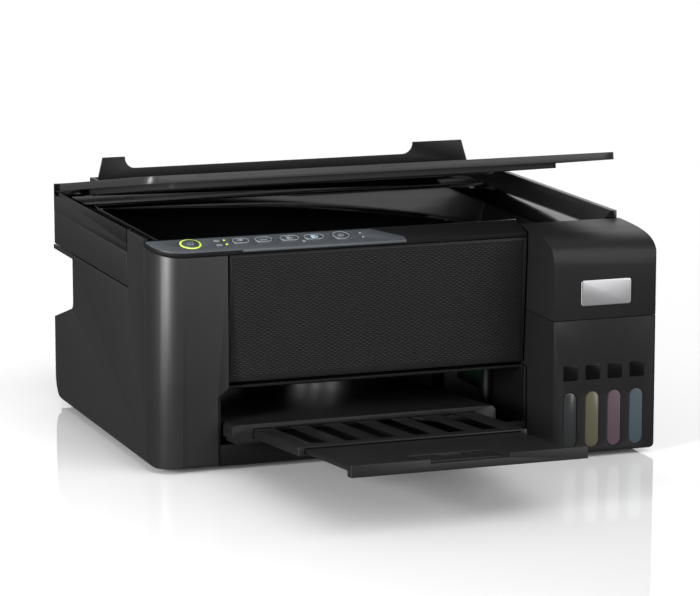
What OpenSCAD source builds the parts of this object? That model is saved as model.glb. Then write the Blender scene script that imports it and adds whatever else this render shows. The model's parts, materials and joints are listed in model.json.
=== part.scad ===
// Inkjet all-in-one printer: flatbed scanner on top, refillable ink tanks at the front right,
// rear paper feed and a three-stage output tray.
// Millimetres. +Z is up, the front faces -Y. The origin is on the surface that the feet stand on,
// below the centre of the whole outline with the lid ajar and the tray pulled out.

/* [Body] */
// Width of the body, side to side
body_w = 375; // [330:1:450]
// Depth from the front of the ink unit to the rear cover
body_d = 321.6; // [290:0.2:390]
// Height of the scanner rim above the table
rim_z = 172; // [168:1:190]
// Height of the rubber feet
foot_h = 4; // [2:0.5:8]
// Radius of a rubber foot
foot_r = 8; // [5:0.5:11]
// Wall thickness of the outer covers
wall = 3; // [2:0.25:4]
// Radius of the front left corner seen from above
corner_r = 25.5; // [12:0.5:32]
// Height of the seam between the lower body and the scanner unit
seam_z = 129; // [122:0.5:134]
// Width of a seam between covers
seam = 1.2; // [0.8:0.1:1.5]

/* [Front] */
// Distance that the ink unit stands in front of the front panel
face_y = 48; // [40:1:54]
// Width of the ink unit
tank_w = 83; // [81:0.5:90]
// Height of the seam under the ink unit's cover
tank_seam_z = 104.3; // [98:0.5:112]
// Width of the column to the left of the front panel
column_w = 56.2; // [50:0.2:62]
// Gap between the front panel and its neighbours
panel_gap = 1.5; // [1:0.1:2.5]
// Backward lean of the front panel from top to bottom
panel_lean = 6.1; // [0:0.1:8]
// Height of the lower edge of the front panel
panel_bottom_z = 64.9; // [63.5:0.1:72]
// Height of the sill under the output opening
sill_z = 20; // [16:0.5:20.5]
// Height of the top of the output opening
slot_top_z = 62; // [58:0.5:63]

/* [Control panel] */
// Slope of the control panel
deck_tilt = 15; // [8:0.5:18]
// Height of the front edge of the control panel
deck_z = 163.4; // [160:0.2:164]
// Depth of the control panel seen from above
deck_run = 24; // [22:0.5:26]
// Thickness of the grey control plate
plate_t = 1.5; // [1:0.1:2]
// Diameter of the round buttons
button_d = 13; // [10:0.5:14]
// Height of the oval buttons along the slope
oval_h = 8.6; // [6:0.2:10]
// Clearance around a button
button_gap = 0.3; // [0.2:0.05:0.5]

/* [Scanner] */
// Depth of the document bed below the rim
bed_drop = 11; // [9:0.5:12]
// Length of the glass window
glass_w = 297; // [280:1:305]
// Depth of the glass window
glass_d = 216; // [200:1:218]
// Thickness of the glass
glass_t = 3; // [2:0.5:3]
// Radius of the rod that carries the scan bar
rod_r = 3; // [2:0.25:4]

/* [Lid] */
// Thickness of the document lid
lid_t = 6; // [5:0.5:8]
// Angle of the lid at rest, held by its friction hinges
lid_ajar = 9.4; // [9:0.1:14]
// Thickness of the pressing mat under the lid
mat_t = 5; // [3:0.5:8.5]
// Radius of a hinge pin
pin_r = 2.4; // [1.5:0.1:2.6]
// Radial running clearance of a pin in its bore
fit = 0.06; // [0.02:0.01:0.1]

/* [Ink unit] */
// Width of a tank window
window_w = 10.8; // [8:0.2:12]
// Height of a tank window
window_h = 42; // [34:1:44]
// Distance between tank centres
tank_pitch = 17.8; // [17:0.1:18.4]
// Width of an ink tank
tank_body_w = 16; // [14:0.5:16.5]
// Side of a square tank label
label_s = 11.6; // [8:0.2:13]

/* [Output tray] */
// Upward slope of the tray
tray_tilt = 4.6; // [2:0.1:5]
// Width of the outer tray
tray_w = 206; // [190:1:212]
// Width of the sliding extensions
ext_w = 173; // [150:1:180]
// Travel of one tray extension
ext_travel = 100; // [70:1:105]
// Travel of the outer tray
tray_travel = 18; // [12:1:18]
// Gap between sliding tray pieces
slide_gap = 0.5; // [0.35:0.05:0.7]

/* [Rear feed] */
// Depth of the rear feeder behind the body
feeder_d = 25.4; // [24:0.2:34]
// Width of the rear feeder
feeder_w = 312; // [290:1:320]
// Height of the notched feeder guard above its pivot
guard_h = 21.5; // [14:0.5:24]
// Width of the paper support
support_w = 190; // [150:1:200]

/* [Hidden] */
$fn = 48;

hx = body_w / 2;
deck_back_y = face_y + deck_run;
// Left and right edges of the front panel
tank_x = hx - tank_w;
panel_x0 = -hx + column_w + panel_gap;
panel_x1 = tank_x - panel_gap;
// The output opening's left side, and the corner cut above it
slot_x0 = panel_x0 - 9.7;
slot_chamfer = 6;
// The column ends and the scanner unit's side skirt begins here
skirt_y = 115;
skirt_gap = 1.6;
// The scanner unit's rear, between the hinge humps and at its sides
unit_back = body_d - 9.6;
side_back = body_d - 2.6;
bed_z = rim_z - bed_drop;
// The scanner unit's hinge and the lid's hinge
unit_pivot = [body_d - 5.6, rim_z - 22];
lid_pivot = [body_d - 12.6, rim_z + 2];
// The ink unit's cover: rear edge, hinge and its crowned profile
cover_back = face_y + 21.6;
cover_pivot = [face_y + 16, rim_z - 11.5];
// The unit behind the cover starts here
right_front_y = face_y + 26.5;
floor_t = 3;
pan_top = foot_h + floor_t;
// Centre of the tray and the place of its tilted frame
tray_cx = -32;
tray_at = [0, face_y - tray_travel, 31.3];
tray_t = 14;
ext_t = 6.5;
end_t = 3;
ext_len = ext_travel + 20;
end_len = ext_travel + 18;
lip_t = 8;
// Rear feeder
feeder_cx = 6;
feeder_y = body_d + 0.9;
feeder_back = feeder_y + feeder_d - 0.9;
feeder_top = rim_z + 4;
guard_pivot = [feeder_y + 3.2, rim_z + 1];
support_lean = 7;
// Handhold at the rear of each side
grip_y = 267;
grip_top = 125;
grip_deep = 26;
// Print mechanism
rail_r = 4;
rail_at = [205, 112];
frame_x0 = -hx + 35.5;
frame_x1 = tank_x - 6.5;
// Outline ends, and the shift that puts the origin below the outline's centre
outline_front = tray_at[1] - (2 * ext_travel + lip_t) * cos(tray_tilt) - 4.6 * sin(tray_tilt);
outline_back = feeder_back;
shift_y = -(outline_front + outline_back) / 2;

function tank_cx(i) = tank_x + 13.7 + i * tank_pitch;

// ---------- shared shapes ----------
module place() { translate([0, shift_y, 0]) children(); }

// A box from its low corner to its high corner
module bx(lo, hi) { translate(lo) cube(hi - lo); }

// A profile in the YZ plane, run along X
module run_x(x0, x1) {
    translate([x0, 0, 0]) rotate([90, 0, 90]) linear_extrude(x1 - x0) children();
}

// A profile in the XZ plane, run along Y
module run_y(y0, y1) {
    translate([0, y1, 0]) rotate([90, 0, 0]) linear_extrude(y1 - y0) children();
}

// A rectangle with round corners, centred
module rrect(w, h, r) {
    square([w - 2 * r, h], center = true);
    square([w, h - 2 * r], center = true);
    for (sx = [-1, 1], sy = [-1, 1])
        translate([sx * (w / 2 - r), sy * (h / 2 - r)]) circle(r);
}

// An upright stadium, centred
module stadium(w, h) {
    square([w, h - w], center = true);
    for (s = [-1, 1]) translate([0, s * (h - w) / 2]) circle(w / 2);
}

// A rod along X
module rod_x(x0, x1, y, z, r) {
    translate([x0, y, z]) rotate([0, 90, 0]) cylinder(h = x1 - x0, r = r);
}

// The body's plan with its round front left corner, set in by an amount, up to x1 and y1
module corner_plan(inset, x1, y1) {
    cx = -hx + corner_r;
    cy = face_y + corner_r;
    translate([cx, face_y + inset]) square([x1 - cx, y1 - face_y - inset]);
    translate([-hx + inset, cy]) square([x1 + hx - inset, y1 - cy]);
    translate([cx, cy]) circle(corner_r - inset, $fn = 96);
}

// Everything above the sloping deck, from a height dw above its surface
module above_deck(dw) {
    translate([0, face_y, deck_z]) rotate([deck_tilt, 0, 0])
        bx([-hx - 1, -20, dw], [hx + 1, deck_run / cos(deck_tilt) + 0.8, 60]);
}

// Places children on the deck: x along the body, v up the slope, w out of the surface
module on_deck(x, v, w) {
    translate([x, face_y, deck_z]) rotate([deck_tilt, 0, 0]) translate([0, v, w]) children();
}

// The tray's own frame: sloping up towards the front
module on_tray() { translate(tray_at) rotate([-tray_tilt, 0, 0]) children(); }

// Turns a closed lid about its hinge to where it rests
module ajar() {
    translate([0, lid_pivot[0], lid_pivot[1]]) rotate([-lid_ajar, 0, 0])
        translate([0, -lid_pivot[0], -lid_pivot[1]]) children();
}

// ---------- lower body ----------
module base_pan() color("#262626") place() {
    difference() {
        union() {
            bx([slot_x0 + 0.3, face_y + 6.7, foot_h], [tank_x - 0.3, skirt_y + 0.4, pan_top]);
            bx([tank_x - 0.4, right_front_y, foot_h], [hx - wall - 0.3, skirt_y + 0.4, pan_top]);
            bx([-hx + wall + 0.3, skirt_y + 0.3, foot_h], [hx - wall - 0.3, body_d - wall - 0.3, pan_top]);
            // posts under the mechanism
            for (p = mech_posts) translate([p[0], p[1], foot_h]) cylinder(h = 56, r = 5);
        }
        for (p = mech_posts) translate([p[0], p[1], 51]) cylinder(h = 10, r = screw_r + 0.05);
        for (i = [0:9]) bx([-90 + i * 18, 268, 0], [-82 + i * 18, 292, 40]);
    }
}
mech_posts = [for (x = [frame_x0 + 6, frame_x1 + 8], y = [132, 236]) [x, y]];
screw_r = 1.45;

// Handhold pocket in the left side: the space, grown by g
module grip_space(g) {
    run_x(-hx - 1 - g, -hx + grip_deep + g) polygon([
        [grip_y - g, grip_top + g], [grip_y - g, 90], [grip_y + 2, 86 - g],
        [grip_y + 10, 83.5 - g], [body_d + 5, 69 - g], [body_d + 5, grip_top + g]]);
}

// One outer side wall of the body with its round lower edges, from y0 back
module side_wall(y0, y1, z1) {
    difference() {
        bx([-hx, y0, foot_h], [-hx + wall, y1, z1]);
        // round lower edge along the side
        run_y(y0 - 1, y1 + 1) difference() {
            translate([-hx - 1, foot_h - 1]) square([6, 6]);
            translate([-hx + 5, foot_h + 5]) circle(5);
        }
        // round lower rear corner
        run_x(-hx - 1, -hx + wall + 1) difference() {
            translate([body_d - 20, foot_h - 1]) square([21, 21]);
            translate([body_d - 20, foot_h + 20]) circle(20, $fn = 96);
        }
    }
}

module side_with_grip(y0) {
    difference() {
        union() {
            side_wall(y0, body_d, seam_z - seam / 2);
            // pocket walls
            intersection() {
                grip_space(2);
                bx([-hx + wall - 0.1, grip_y - 5, 60],
                    [-hx + grip_deep + 2, body_d - wall - 0.3, grip_top + 2]);
            }
        }
        grip_space(0);
    }
}

module left_cover() color("#3a3a3a") place() {
    side_with_grip(skirt_y);
    // column with the round corner, hollow, open to the rear
    difference() {
        intersection() {
            linear_extrude(rim_z) corner_plan(0, panel_x0 - panel_gap, skirt_y);
            run_y(face_y - 1, skirt_y + 1) polygon([
                [-hx, foot_h], [slot_x0, foot_h], [slot_x0, slot_top_z - slot_chamfer],
                [panel_x0 - panel_gap, slot_top_z + 0.5], [panel_x0 - panel_gap, rim_z], [-hx, rim_z]]);
        }
        intersection() {
            translate([0, 0, foot_h + wall]) linear_extrude(rim_z) corner_plan(wall, hx, skirt_y + 5);
            run_y(face_y - 1, skirt_y + 1) polygon([
                [-hx - 1, foot_h + wall], [slot_x0 - wall, foot_h + wall],
                [slot_x0 - wall, slot_top_z - slot_chamfer + 1.2],
                [panel_x0 - panel_gap - wall, slot_top_z + 1.7], [panel_x0 - panel_gap - wall, rim_z + 1],
                [-hx - 1, rim_z + 1]]);
        }
        above_deck(-deck_t - 0.3);
        // the inner side wall stays below the scanner unit
        bx([-hx + corner_r, face_y + 12, seam_z + 14], [hx, skirt_y + 1, rim_z + 1]);
        bx([-hx + corner_r, face_y + wall, deck_z - 6], [hx, skirt_y + 1, rim_z + 1]);
        // round lower front edge and side edge
        run_x(-hx - 1, hx) difference() {
            translate([face_y - 1, foot_h - 1]) square([5, 5]);
            translate([face_y + 4, foot_h + 4]) circle(4);
        }
        run_y(face_y - 1, skirt_y + 1) difference() {
            translate([-hx - 1, foot_h - 1]) square([6, 6]);
            translate([-hx + 5, foot_h + 5]) circle(5);
        }
    }
}

module right_cover() color("#343434") place() mirror([1, 0, 0]) side_with_grip(right_front_y);

module rear_cover() color("#2c2c2c") place() {
    difference() {
        bx([-hx + wall + 0.3, body_d - wall, foot_h + 5], [hx - wall - 0.3, body_d, seam_z - seam / 2]);
        // paper path, inlet, port, vents and the open ends of the handholds
        bx([-130, body_d - 5, 66], [88, body_d + 1, 92]);
        inlet_hole(0.4);
        bx([135.6, body_d - 5, 69.6], [150.4, body_d + 1, 84.4]);
        for (i = [0:7]) bx([-60 + i * 14, body_d - 5, 24], [-52 + i * 14, body_d + 1, 50]);
        for (s = [0, 1]) mirror([s, 0, 0]) bx([-hx, body_d - 5, 66],
            [-hx + grip_deep + 2.6, body_d + 1, grip_top + 2.6]);
    }
}

// Sill and lining of the output opening, one moulding
module front_sill() color("#1b1b1b") place() {
    x0 = slot_x0 + 0.3;
    x1 = tank_x - 0.3;
    bx([x0, face_y + 1.5, foot_h], [x1, face_y + 6.5, sill_z - 2.4]);
    bx([x0, face_y + 1.5, sill_z - 2.5], [x1, face_y + 6.5, sill_z]);
    bx([x0, face_y + 1.5, sill_z - 4], [x0 + 2, face_y + 64, slot_top_z - slot_chamfer - 0.4]);
    bx([x1 - 2, face_y + 1.5, sill_z - 4], [x1, face_y + 64, slot_top_z]);
    bx([panel_x0 - panel_gap + 0.4, face_y + 8, slot_top_z - 2], [x1, face_y + 72, slot_top_z]);
}

foot_at = [[-hx + 24, face_y + 30], [hx - 38, 26], [-hx + 24, body_d - 30], [hx - 24, body_d - 30]];
module feet() color("#1a1a1a") place()
    for (p = foot_at) translate([p[0], p[1], 0]) {
        cylinder(h = foot_h - 1, r1 = foot_r - 1, r2 = foot_r);
        translate([0, 0, foot_h - 1]) cylinder(h = 1, r = foot_r);
    }

module mech_frame() color("#8f9499") place()
    difference() {
        union() {
            bx([frame_x0, 239, 60], [frame_x1 + 12, 240.2, 124]);
            bx([frame_x0, 126, 60], [frame_x0 + 1.2, 240.2, 120]);
            bx([frame_x1 + 10.8, 126, 60], [frame_x1 + 12, 240.2, 120]);
            bx([frame_x0, 126, 60], [frame_x0 + 12, 240.2, 61.2]);
            bx([frame_x1, 126, 60], [frame_x1 + 12, 240.2, 61.2]);
        }
        rod_x(frame_x0 - 1, frame_x1 + 14, rail_at[0], rail_at[1], rail_r + 0.02);
        rod_x(frame_x0 - 1, frame_x1 + 14, feed_at[0], feed_at[1], 4.06);
        rod_x(frame_x0 - 1, frame_x1 + 14, eject_at[0], eject_at[1], 4.06);
        for (p = mech_posts) translate([p[0], p[1], 55]) cylinder(h = 10, r = 1.6);
        for (i = [0:5]) bx([-120 + i * 34, 235, 74], [-104 + i * 34, 245, 92]);
        translate([motor_at[0], 230, motor_at[1]]) rotate([-90, 0, 0]) cylinder(h = 20, r = 6);
    }
feed_at = [222, 78];
eject_at = [140, 72];

module carriage_rail() color("#c9ccd0") place()
    rod_x(frame_x0 - 2, frame_x1 + 14, rail_at[0], rail_at[1], rail_r);

module platen() color("#202020") place() {
    bx([frame_x0 + 6, 150, 64], [40, 212, 68]);
    for (i = [0:11]) bx([-142 + i * 16, 152, 68], [-140.5 + i * 16, 210, 70]);
    bx([frame_x0 + 1.4, 170, 64], [frame_x0 + 6, 190, 68]);
}

module capping_station() color("#3b3b3d") place() {
    bx([46, 160, 61.3], [96, 212, 72]);
    bx([52, 168, 72], [74, 204, 78]);
    bx([80, 168, 72], [84, 204, 79]);
}

board_x = tank_x + 23.5;
board_t = 1.6;
module main_board() color("#1f5a34") place() {
    bx([board_x, 120, 12], [board_x + board_t, 250, 98]);
    bx([board_x + board_t, 140, 30], [board_x + 6, 165, 55]);
    bx([board_x + board_t, 190, 40], [board_x + 8, 200, 70]);
    bx([board_x + board_t, 220, 66], [board_x + 13, 236, 82]);
    for (i = [0:3]) translate([board_x + board_t, 134 + i * 26, 84]) rotate([0, 90, 0])
        cylinder(h = 9, r = 4);
}

module power_supply() color("#b9bcbf") place() {
    difference() {
        bx([-hx + 10, 190, pan_top + 0.1], [frame_x0 - 1, 292, 58]);
        for (i = [0:6]) bx([-hx + 9, 200 + i * 12, 20], [-hx + 12, 206 + i * 12, 50]);
    }
}

inlet_at = [-hx + 27.5, 34];
module inlet_hole(g) {
    run_y(body_d - 30, body_d + 2) translate(inlet_at) rrect(26 + 2 * g, 20 + 2 * g, 4 + g);
}
// Two-pin mains inlet: a figure-of-eight socket in a flanged shell
module ac_inlet() color("#111111") place()
    difference() {
        union() {
            intersection() {
                inlet_hole(0);
                bx([-hx, body_d - 20, 0], [0, body_d - wall, 100]);
            }
            intersection() {
                inlet_hole(0);
                bx([-hx, body_d - wall - 0.1, 0], [0, body_d + 0.8, 100]);
            }
        }
        run_y(body_d - 14, body_d + 2) translate(inlet_at) rotate([0, 0, 90]) stadium(8.4, 14.6);
    }

module usb_port() color("#a8abae") place()
    difference() {
        bx([136, body_d - 16, 70], [150, body_d - 0.2, 84]);
        bx([138.7, body_d - 12, 73], [147.3, body_d + 1, 81]);
    }

motor_at = [frame_x1 - 14, 108];
module carriage_motor() color("#9ea2a6") place() {
    translate([motor_at[0], 240.3, motor_at[1]]) rotate([-90, 0, 0]) cylinder(h = 26, r = 14);
    translate([motor_at[0], 229, motor_at[1]]) rotate([-90, 0, 0]) cylinder(h = 11.5, r = 5);
}

// The carriage's toothed belt and the belt that drives both paper rollers
module drive_belts() color("#141414") place() {
    run_y(231, 236) translate([motor_at[0] - 112, motor_at[1]]) difference() {
        rotate([0, 0, 90]) stadium(12.6, 236.6);
        rotate([0, 0, 90]) stadium(10.2, 234.2);
    }
    span = norm(feed_at - eject_at);
    slope = atan2(feed_at[1] - eject_at[1], feed_at[0] - eject_at[0]);
    run_x(pulley_x + 1, pulley_x + 4) translate((feed_at + eject_at) / 2)
        rotate([0, 0, slope - 90]) difference() {
        stadium(2 * pulley_r + 2.8, span + 2 * pulley_r + 2.8);
        stadium(2 * pulley_r + 0.8, span + 2 * pulley_r + 0.8);
    }
}
pulley_x = frame_x0 - 8;
pulley_r = 8;

bracket_x = hx - 15.5;
bracket_z = grip_top + 2.05;
module hinge_brackets() color("#5c6064") place()
    for (s = [-1, 1]) {
        // foot on the roof of the handhold, and the upright
        bx([s * bracket_x - 8, unit_pivot[0] - 12, bracket_z],
            [s * bracket_x + 8, body_d - wall - 0.3, bracket_z + 1.2]);
        bx([s * bracket_x - 2, unit_pivot[0] - 12, bracket_z],
            [s * bracket_x + 2, unit_pivot[0] - 4, unit_pivot[1]]);
        rod_x(s * bracket_x - 2, s * bracket_x + 2, unit_pivot[0] - 7, unit_pivot[1], 4);
        // pin carried on an arm
        bx([s * bracket_x - 2, unit_pivot[0] - 10, unit_pivot[1] - 3],
            [s * bracket_x + 2, unit_pivot[0] + 3, unit_pivot[1] + 3]);
        rod_x(s * bracket_x - 7, s * bracket_x + 7, unit_pivot[0], unit_pivot[1], pin_r);
    }

module chassis_screws() color("#c4c7ca") place()
    for (p = mech_posts) translate([p[0], p[1], 61.2]) {
        cylinder(h = 1.8, r = 2.8);
        translate([0, 0, -7]) cylinder(h = 7, r = screw_r);
    }

// ---------- ink unit ----------
window_z = [8, 8 + window_h];
neck_r = 5.5;
neck_y = 30;
module tank_case() color("#2a2a2a") place() {
    difference() {
        bx([tank_x, 0, foot_h], [hx, right_front_y - seam, tank_seam_z]);
        bx([tank_x + wall, wall, foot_h + wall],
            [hx - wall, right_front_y - seam - wall, tank_seam_z - wall]);
        // round vertical and lower edges
        translate([0, 0, -1]) linear_extrude(200) difference() {
            translate([hx - 3, -1]) square([4, 4]);
            translate([hx - 3, 3]) circle(3);
        }
        run_y(-1, right_front_y + 1) difference() {
            translate([hx - 5, foot_h - 1]) square([6, 6]);
            translate([hx - 5, foot_h + 5]) circle(5);
        }
        for (i = [0:3]) {
            run_y(-1, wall + 1) translate([tank_cx(i), window_z[0] + window_h / 2])
                stadium(window_w + 2 * button_gap, window_h + 2 * button_gap);
            translate([tank_cx(i), neck_y, tank_seam_z - wall - 1])
                cylinder(h = wall + 2, r = neck_r + 0.3);
        }
    }
    // posts with the cover's hinge pins, and the stands of the cap rod
    for (x = [tank_x + wall + 0.6, hx - wall - 4.6]) {
        bx([x, cover_pivot[0] - 3.4, tank_seam_z - 0.1], [x + 4, cover_pivot[0] + 3.4, cover_pivot[1]]);
        rod_x(x, x + 4, cover_pivot[0], cover_pivot[1], 3.4);
    }
    rod_x(tank_x + wall + 4.5, tank_x + wall + 10, cover_pivot[0], cover_pivot[1], 2);
    rod_x(hx - wall - 10, hx - wall - 4.5, cover_pivot[0], cover_pivot[1], 2);
    for (x = [tank_cx(0) - 10.6, tank_cx(3) + 9])
        difference() {
            bx([x, cap_hinge[0] - 2.5, tank_seam_z - 0.1],
                [x + 1.6, cap_hinge[0] + 2.5, cap_hinge[1] + 2.5]);
            rod_x(x - 1, x + 3, cap_hinge[0], cap_hinge[1], 1.52);
        }
}

// One ink tank: a translucent box whose front fills its window, with a filling neck
module ink_tank(i) {
    x = tank_cx(i);
    difference() {
        union() {
            bx([x - tank_body_w / 2, wall + 0.3, foot_h + wall + 0.3], [x + tank_body_w / 2, 62, 84]);
            run_y(0.6, wall + 0.4) translate([x, window_z[0] + window_h / 2]) stadium(window_w, window_h);
            translate([x, neck_y, 83]) cylinder(h = tank_seam_z + 2.6 - 83, r = neck_r);
        }
        bx([x - tank_body_w / 2 + 1.5, wall + 1.8, foot_h + wall + 1.8],
            [x + tank_body_w / 2 - 1.5, 60.5, 82.5]);
        translate([x, neck_y, 80]) cylinder(h = 40, r = neck_r - 1.5);
    }
}
module ink_tank_black() color("#4b4c4e") place() ink_tank(0);
module ink_tank_yellow() color("#5f5b45") place() ink_tank(1);
module ink_tank_magenta() color("#604c57") place() ink_tank(2);
module ink_tank_cyan() color("#4a5b66") place() ink_tank(3);

module tank_labels() color("#121212") place()
    for (i = [0:3]) run_y(-0.35, 0) translate([tank_cx(i), 65]) rrect(label_s, label_s, 1.2);

cap_hinge = [46, tank_seam_z + 6];
module cap_rod() color("#b5b8bb") place()
    rod_x(tank_cx(0) - 11, tank_cx(3) + 11, cap_hinge[0], cap_hinge[1], 1.5);

// A flip cap that closes a filling neck, hinged on the common rod
module tank_cap(i) {
    x = tank_cx(i);
    difference() {
        union() {
            bx([x - 7.4, neck_y - 12, tank_seam_z + 3], [x + 7.4, cap_hinge[0], tank_seam_z + 8.4]);
            rod_x(x - 7.4, x + 7.4, cap_hinge[0], cap_hinge[1], 3.4);
            bx([x - 3, neck_y - 17, tank_seam_z + 5.6], [x + 3, neck_y - 11, tank_seam_z + 8.4]);
        }
        rod_x(x - 10, x + 10, cap_hinge[0], cap_hinge[1], 1.5 + fit);
    }
}
module tank_cap_black() color("#2b2b2b") place() tank_cap(0);
module tank_cap_yellow() color("#b59b2a") place() tank_cap(1);
module tank_cap_magenta() color("#9a3566") place() tank_cap(2);
module tank_cap_cyan() color("#2a7296") place() tank_cap(3);

// Side profile of the ink unit's cover: upright front, then a crown that flattens to the rear
function crown(t, inset) =
    let (r = rim_z - 28 + (24 - inset) * (1 - exp(-t * 3.2)) / (1 - exp(-3.2)) - 1)
    [inset + (cover_back - inset) * pow(t, 1.9), r];
module cover_profile(inset, back) {
    polygon(concat(
        [[back, tank_seam_z - 2], [inset, tank_seam_z - 2]],
        [for (k = [0:16]) crown(k / 16, inset)],
        [[back, crown(1, inset)[1]]]));
}

module tank_cover() color("#313131") place() {
    z0 = tank_seam_z + 0.6;
    difference() {
        run_x(tank_x, hx) cover_profile(0, cover_back);
        run_x(tank_x + 2.5, hx - 2.5) cover_profile(2.5, cover_back + 5);
        bx([tank_x - 1, -1, 0], [hx + 1, cover_back + 10, z0]);
        translate([0, 0, -1]) linear_extrude(200) difference() {
            translate([hx - 3, -1]) square([4, 4]);
            translate([hx - 3, 3]) circle(3);
        }
        // side walls are cut away below the hinge so that they swing clear
        for (x = [tank_x - 1, hx - 3]) bx([x, cover_back - 14, 0],
            [x + 4, cover_back + 1, cover_pivot[1] - 9]);
    }
    // hinge lugs on the pins
    for (x = [tank_x + wall + 5.2, hx - wall - 9.4]) difference() {
        union() {
            rod_x(x, x + 4.2, cover_pivot[0], cover_pivot[1], 4);
            bx([x, cover_pivot[0] - 4, cover_pivot[1]],
                [x + 4.2, cover_pivot[0] + 4, cover_pivot[1] + 4.4]);
        }
        rod_x(x - 1, x + 6, cover_pivot[0], cover_pivot[1], 2 + fit);
    }
}

badge_w = 40;
badge_h = 19;
module badge_plate() color("#b9b9b9") place()
    run_y(-0.8, 0) translate([tank_x + tank_w / 2, tank_seam_z + 20.2]) rrect(badge_w, badge_h, 2);

// ---------- scanner unit ----------
// Plan of the scanner unit, set in by an amount: right side full, left side behind the column
module unit_plan(inset) {
    gx = -hx + wall + 0.7 + inset;
    translate([-hx + inset, skirt_y + skirt_gap + inset])
        square([2 * hx - 2 * inset, unit_back - skirt_y - skirt_gap - 2 * inset]);
    for (s = [-1, 1]) translate([s > 0 ? feeder_cx + feeder_w / 2 + 3 : -hx + inset, unit_back - 20])
        square([s > 0 ? hx - feeder_cx - feeder_w / 2 - 3 - inset : hx + feeder_cx - feeder_w / 2 - 3,
            20 + side_back - unit_back - inset]);
    translate([gx, deck_back_y + inset]) square([tank_x - gx - 0.4, skirt_y - deck_back_y + 10]);
    translate([gx, right_front_y + inset]) square([hx - inset - gx, skirt_y - right_front_y + 10]);
}

floor_z = seam_z + seam / 2;
deck_floor_z = seam_z + 15;
module scanner_frame() color("#1d1d1d") place()
    difference() {
        translate([0, 0, floor_z]) linear_extrude(bed_z - 6 - floor_z) unit_plan(0);
        translate([0, 0, floor_z + 2.4]) linear_extrude(60) intersection() {
            unit_plan(wall);
            translate([-hx, skirt_y + skirt_gap + wall]) square([2 * hx, 400]);
        }
        // raised floor in front, where the unit sits inside the column and behind the panel
        bx([-hx - 1, 0, floor_z - 1], [tank_x + 1, skirt_y + skirt_gap, deck_floor_z]);
        translate([0, 0, deck_floor_z + 2.4]) linear_extrude(60) intersection() {
            unit_plan(wall);
            translate([-hx, 0]) square([2 * hx, 300]);
        }
        // room for the hinge brackets, and the bores on their pins
        for (s = [-1, 1]) {
            bx([s * bracket_x - 2.6, unit_pivot[0] - 24, 0], [s * bracket_x + 2.6, 400, unit_pivot[1] + 5]);
        }
        for (s = [-1, 1])
            rod_x(s * bracket_x - 9, s * bracket_x + 9, unit_pivot[0], unit_pivot[1], pin_r + fit);
    }

module bed_window(g) {
    translate([glass_cx, glass_cy]) square([glass_w + 2 * g, glass_d + 2 * g], center = true);
}
glass_cx = -11.5;
glass_cy = body_d - 131;
slope_w = 13;
lid_pin_r = 1.5;
knuckle_x = hx - 37.5;
module bed_frame() color("#0c0c0c") place() {
    difference() {
        union() {
            translate([0, 0, bed_z - 5.8]) linear_extrude(bed_drop + 5.8) unit_plan(0);
            // covers of the lid hinges behind the lid
            for (s = [-1, 1])
                bx([s > 0 ? hx - 19 : -hx, side_back - 3.5, bed_z],
                    [s > 0 ? hx : -hx + 24.5, side_back, rim_z + 5]);
        }
        // the recess: upright on the left, sloping on the right
        run_y(deck_back_y + 2.5, body_d - 16.6) polygon([
            [-hx + wall + 0.5, bed_z], [hx - 3.5 - slope_w, bed_z], [hx - 3.5, rim_z + 1],
            [-hx + wall + 0.5, rim_z + 1]]);
        // the front part's left side is formed by the column's own rim
        bx([-hx - 1, deck_back_y - 1, bed_z], [-hx + wall + 1.5, skirt_y + skirt_gap + 0.5, rim_z + 1]);
        bx([-hx - 1, deck_back_y - 1, rim_z - 2.2], [tank_x + 1, deck_back_y + 4, rim_z + 1]);
        translate([0, 0, bed_z - glass_t]) linear_extrude(30) bed_window(0.3);
        linear_extrude(200) bed_window(-4);
        // room for the sloping deck in front
        bx([-hx - 1, deck_back_y - 1, bed_z - 6], [tank_x + 1, deck_back_y + 0.9, rim_z + 1]);
        // low rear rim, so that the lid's rear edge can turn down behind its pins
        bx([-hx - 1, lid_pivot[0] - 6, rim_z - 4], [hx + 1, side_back - 3.4, rim_z + 1]);
    }
    for (s = [-1, 1]) {
        for (d = [-9, 6.5]) {
            bx([s * knuckle_x + d, lid_pivot[0] - 5, rim_z - 4.1],
                [s * knuckle_x + d + 2.5, lid_pivot[0] + 1.8, lid_pivot[1]]);
            rod_x(s * knuckle_x + d, s * knuckle_x + d + 2.5, lid_pivot[0], lid_pivot[1], 2.1);
        }
        rod_x(s * knuckle_x - 8, s * knuckle_x + 8, lid_pivot[0], lid_pivot[1], lid_pin_r);
    }
}

module scanner_glass() color([0.1, 0.12, 0.12, 0.5]) place()
    translate([0, 0, bed_z - glass_t]) linear_extrude(glass_t - 0.1) bed_window(0);

module scan_rod() color("#c9ccd0") place()
    rod_x(-hx + wall + 0.2, hx - wall - 0.2, glass_cy, seam_z + 8, rod_r);

bar_w = 16;
module scan_bar() color("#2f2f31") place()
    difference() {
        union() {
            bx([glass_cx - glass_w / 2 - bar_w, glass_cy - glass_d / 2 + 2, bed_z - 12.5],
                [glass_cx - glass_w / 2, glass_cy + glass_d / 2 - 2, bed_z - 6.6]);
            bx([glass_cx - glass_w / 2 - bar_w, glass_cy - 10, seam_z + 4],
                [glass_cx - glass_w / 2, glass_cy + 10, bed_z - 12.4]);
        }
        rod_x(-hx, hx, glass_cy, seam_z + 8, rod_r + fit);
        bx([glass_cx - glass_w / 2 - bar_w + 4, glass_cy - glass_d / 2 + 6, bed_z - 7.6],
            [glass_cx - glass_w / 2 - 4, glass_cy + glass_d / 2 - 6, bed_z - 6]);
    }

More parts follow.
